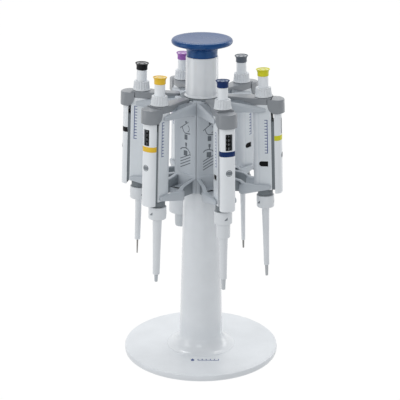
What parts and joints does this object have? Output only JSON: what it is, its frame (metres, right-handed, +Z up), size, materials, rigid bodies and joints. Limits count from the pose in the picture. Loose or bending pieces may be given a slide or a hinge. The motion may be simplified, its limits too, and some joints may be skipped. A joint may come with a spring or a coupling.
{
  "type": "pipette set",
  "caption": "Rotating round stand with fork-shaped holders carrying adjustable single-channel pipettes with coloured buttons, under a disc-shaped lifting knob.",
  "frame": {"origin": "centre of the base's underside on the bench, on the stand's axis", "axes": "+Z up along the stand's axis, -Y towards the viewer, +X to the viewer's right"},
  "size_m": [0.1926, 0.1888, 0.393],
  "materials": {
    "white_base": "satin",
    "white_plastic": "satin",
    "steel": "brushed",
    "rubber_pad": "matt",
    "bearing_polymer": "matt",
    "holder_grey": "satin",
    "knob_blue": "satin",
    "handle_white": "satin",
    "rest_grey": "satin",
    "core_dark": "matt",
    "ring_white": "satin",
    "sleeve_white": "satin",
    "button_blue": "satin",
    "button_yellow": "satin",
    "button_grey": "satin",
    "button_violet": "satin",
    "button_black": "satin",
    "button_orange": "satin"
  },
  "bodies": {
    "stand": {"base_plate": "white_base", "base_weight": "steel", "base_pad": "rubber_pad", "column": "white_plastic", "tie_rod": "steel", "thrust_washer": "bearing_polymer", "neck": "white_plastic", "knob": "knob_blue"},
    "carousel": {"hub_core": "holder_grey", "holder_panels": "holder_grey", "upper_arms": "holder_grey", "lower_arms": "holder_grey"},
    "pipette_blue": {"housing_blue": "handle_white", "cover_blue": "handle_white", "rest_blue": "rest_grey", "core_blue": "core_dark"},
    "operating_button_blue": {"button_blue": "button_blue"},
    "volume_ring_blue": {"ring_blue": "ring_white"},
    "tip_ejector_blue": {"ejector_blue": "rest_grey", "sleeve_blue": "sleeve_white"},
    "pipette_yellow": {"housing_yellow": "handle_white", "cover_yellow": "handle_white", "rest_yellow": "rest_grey", "core_yellow": "core_dark"},
    "operating_button_yellow": {"button_yellow": "button_yellow"},
    "volume_ring_yellow": {"ring_yellow": "ring_white"},
    "tip_ejector_yellow": {"ejector_yellow": "rest_grey", "sleeve_yellow": "sleeve_white"},
    "pipette_grey": {"housing_grey": "handle_white", "cover_grey": "handle_white", "rest_grey": "rest_grey", "core_grey": "core_dark"},
    "operating_button_grey": {"button_grey": "button_grey"},
    "volume_ring_grey": {"ring_grey": "ring_white"},
    "tip_ejector_grey": {"ejector_grey": "rest_grey", "sleeve_grey": "sleeve_white"},
    "pipette_violet": {"housing_violet": "handle_white", "cover_violet": "handle_white", "rest_violet": "rest_grey", "core_violet": "core_dark"},
    "operating_button_violet": {"button_violet": "button_violet"},
    "volume_ring_violet": {"ring_violet": "ring_white"},
    "tip_ejector_violet": {"ejector_violet": "rest_grey", "sleeve_violet": "sleeve_white"},
    "pipette_black": {"housing_black": "handle_white", "cover_black": "handle_white", "rest_black": "rest_grey", "core_black": "core_dark"},
    "operating_button_black": {"button_black": "button_black"},
    "volume_ring_black": {"ring_black": "ring_white"},
    "tip_ejector_black": {"ejector_black": "rest_grey", "sleeve_black": "sleeve_white"},
    "pipette_orange": {"housing_orange": "handle_white", "cover_orange": "handle_white", "rest_orange": "rest_grey", "core_orange": "core_dark"},
    "operating_button_orange": {"button_orange": "button_orange"},
    "volume_ring_orange": {"ring_orange": "ring_white"},
    "tip_ejector_orange": {"ejector_orange": "rest_grey", "sleeve_orange": "sleeve_white"}
  },
  "joints": [
    {"name": "carousel_turn", "type": "hinge", "parent": "stand", "child": "carousel", "pos_m": [0, 0, 0.27], "axis": [0, 0, 1], "continuous": true},
    {"name": "lift_off_blue", "type": "slide", "parent": "carousel", "child": "pipette_blue", "axis": [0.264, -0.7754, 0.5736], "range_m": [0, 0.12]},
    {"name": "press_blue", "type": "slide", "parent": "pipette_blue", "child": "operating_button_blue", "axis": [0.0121, -0.0355, -0.9993], "range_m": [0, 0.0125], "stiffness_N_per_m": 350, "springref_m": -0.004},
    {"name": "set_volume_blue", "type": "hinge", "parent": "pipette_blue", "child": "volume_ring_blue", "pos_m": [0.02332, -0.06851, 0.3336], "axis": [-0.0121, 0.0355, 0.9993], "continuous": true},
    {"name": "eject_blue", "type": "slide", "parent": "pipette_blue", "child": "tip_ejector_blue", "axis": [0.0121, -0.0355, -0.9993], "range_m": [0, 0.007], "stiffness_N_per_m": 600, "springref_m": -0.003},
    {"name": "lift_off_yellow", "type": "slide", "parent": "carousel", "child": "pipette_yellow", "axis": [0.8036, -0.1591, 0.5736], "range_m": [0, 0.12]},
    {"name": "press_yellow", "type": "slide", "parent": "pipette_yellow", "child": "operating_button_yellow", "axis": [0.0368, -0.0073, -0.9993], "range_m": [0, 0.0125], "stiffness_N_per_m": 350, "springref_m": -0.004},
    {"name": "set_volume_yellow", "type": "hinge", "parent": "pipette_yellow", "child": "volume_ring_yellow", "pos_m": [0.071, -0.01406, 0.3336], "axis": [-0.0368, 0.0073, 0.9993], "continuous": true},
    {"name": "eject_yellow", "type": "slide", "parent": "pipette_yellow", "child": "tip_ejector_yellow", "axis": [0.0368, -0.0073, -0.9993], "range_m": [0, 0.007], "stiffness_N_per_m": 600, "springref_m": -0.003},
    {"name": "lift_off_grey", "type": "slide", "parent": "carousel", "child": "pipette_grey", "axis": [0.5396, 0.6163, 0.5736], "range_m": [0, 0.12]},
    {"name": "press_grey", "type": "slide", "parent": "pipette_grey", "child": "operating_button_grey", "axis": [0.0247, 0.0282, -0.9993], "range_m": [0, 0.0125], "stiffness_N_per_m": 350, "springref_m": -0.004},
    {"name": "set_volume_grey", "type": "hinge", "parent": "pipette_grey", "child": "volume_ring_grey", "pos_m": [0.04767, 0.05446, 0.3336], "axis": [-0.0247, -0.0282, 0.9993], "continuous": true},
    {"name": "eject_grey", "type": "slide", "parent": "pipette_grey", "child": "tip_ejector_grey", "axis": [0.0247, 0.0282, -0.9993], "range_m": [0, 0.007], "stiffness_N_per_m": 600, "springref_m": -0.003},
    {"name": "lift_off_violet", "type": "slide", "parent": "carousel", "child": "pipette_violet", "axis": [-0.264, 0.7754, 0.5736], "range_m": [0, 0.12]},
    {"name": "press_violet", "type": "slide", "parent": "pipette_violet", "child": "operating_button_violet", "axis": [-0.0121, 0.0355, -0.9993], "range_m": [0, 0.0125], "stiffness_N_per_m": 350, "springref_m": -0.004},
    {"name": "set_volume_violet", "type": "hinge", "parent": "pipette_violet", "child": "volume_ring_violet", "pos_m": [-0.02332, 0.06851, 0.3336], "axis": [0.0121, -0.0355, 0.9993], "continuous": true},
    {"name": "eject_violet", "type": "slide", "parent": "pipette_violet", "child": "tip_ejector_violet", "axis": [-0.0121, 0.0355, -0.9993], "range_m": [0, 0.007], "stiffness_N_per_m": 600, "springref_m": -0.003},
    {"name": "lift_off_black", "type": "slide", "parent": "carousel", "child": "pipette_black", "axis": [-0.8036, 0.1591, 0.5736], "range_m": [0, 0.12]},
    {"name": "press_black", "type": "slide", "parent": "pipette_black", "child": "operating_button_black", "axis": [-0.0368, 0.0073, -0.9993], "range_m": [0, 0.0125], "stiffness_N_per_m": 350, "springref_m": -0.004},
    {"name": "set_volume_black", "type": "hinge", "parent": "pipette_black", "child": "volume_ring_black", "pos_m": [-0.071, 0.01406, 0.3336], "axis": [0.0368, -0.0073, 0.9993], "continuous": true},
    {"name": "eject_black", "type": "slide", "parent": "pipette_black", "child": "tip_ejector_black", "axis": [-0.0368, 0.0073, -0.9993], "range_m": [0, 0.007], "stiffness_N_per_m": 600, "springref_m": -0.003},
    {"name": "lift_off_orange", "type": "slide", "parent": "carousel", "child": "pipette_orange", "axis": [-0.5396, -0.6163, 0.5736], "range_m": [0, 0.12]},
    {"name": "press_orange", "type": "slide", "parent": "pipette_orange", "child": "operating_button_orange", "axis": [-0.0247, -0.0282, -0.9993], "range_m": [0, 0.0125], "stiffness_N_per_m": 350, "springref_m": -0.004},
    {"name": "set_volume_orange", "type": "hinge", "parent": "pipette_orange", "child": "volume_ring_orange", "pos_m": [-0.04767, -0.05446, 0.3336], "axis": [0.0247, 0.0282, 0.9993], "continuous": true},
    {"name": "eject_orange", "type": "slide", "parent": "pipette_orange", "child": "tip_ejector_orange", "axis": [-0.0247, -0.0282, -0.9993], "range_m": [0, 0.007], "stiffness_N_per_m": 600, "springref_m": -0.003}
  ]
}
